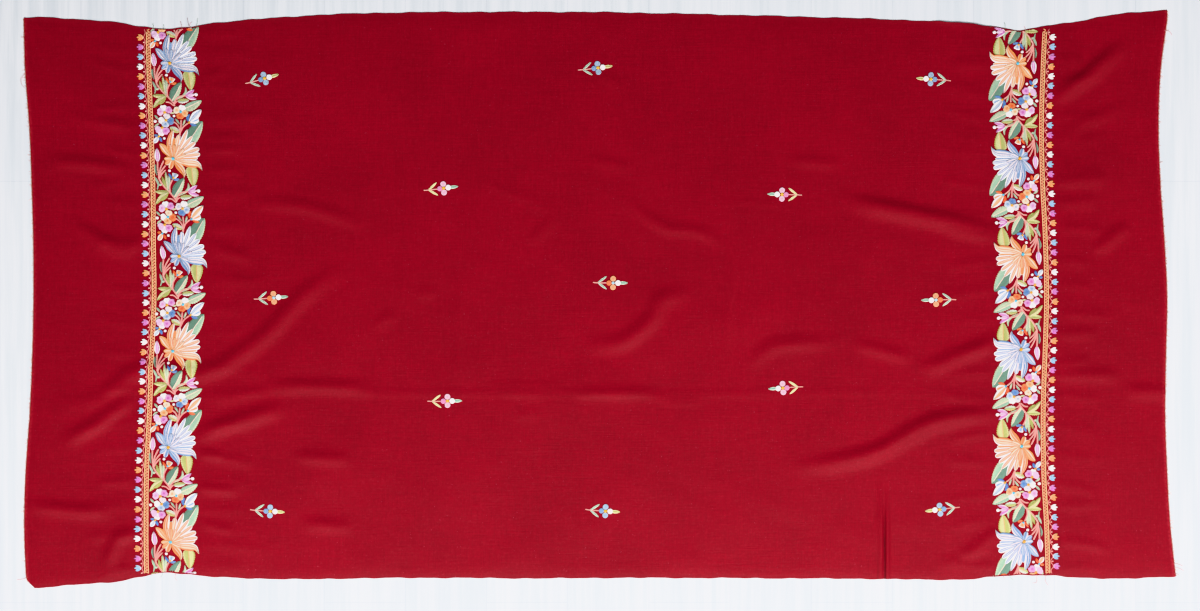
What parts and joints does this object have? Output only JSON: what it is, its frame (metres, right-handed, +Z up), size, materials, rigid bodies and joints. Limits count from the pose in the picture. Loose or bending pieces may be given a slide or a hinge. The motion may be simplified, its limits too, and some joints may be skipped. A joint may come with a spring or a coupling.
{
  "type": "embroidered wool shawl",
  "caption": "Crimson wool shawl laid flat, with a chain-stitch floral border across each end, small flower sprigs between them and short frayed ends.",
  "frame": {"origin": "middle of the shawl's bounding box, on the surface that it lies on", "axes": "+X along the shawl's length, towards the right-hand end; +Y across its width, towards the upper woven edge; +Z up from the surface, out of the embroidered side"},
  "size_m": [2.0203, 1.008, 0.0113],
  "materials": {
    "wool_cloth": "matt fine wool with a slight sheen",
    "frayed_wool": "matt loose yarn ends",
    "flower_embroidery": "satin chain stitch in many colours",
    "braid_embroidery": "satin chain stitch",
    "bud_embroidery": "satin chain stitch",
    "blue_sprig": "satin chain stitch",
    "pink_sprig": "satin chain stitch",
    "orange_sprig": "satin chain stitch"
  },
  "bodies": {
    "root": {"shawl_cloth": "wool_cloth", "end_fringe_left": "frayed_wool", "end_fringe_right": "frayed_wool", "flower_band_left": "flower_embroidery", "flower_band_right": "flower_embroidery", "guard_braid_left": "braid_embroidery", "guard_braid_right": "braid_embroidery", "bud_row_left": "bud_embroidery", "bud_row_right": "bud_embroidery", "sprig_01": "blue_sprig", "sprig_02": "blue_sprig", "sprig_03": "blue_sprig", "sprig_04": "pink_sprig", "sprig_05": "pink_sprig", "sprig_06": "orange_sprig", "sprig_07": "orange_sprig", "sprig_08": "orange_sprig", "sprig_09": "pink_sprig", "sprig_10": "pink_sprig", "sprig_11": "blue_sprig", "sprig_12": "blue_sprig", "sprig_13": "blue_sprig"}
  },
  "joints": []
}
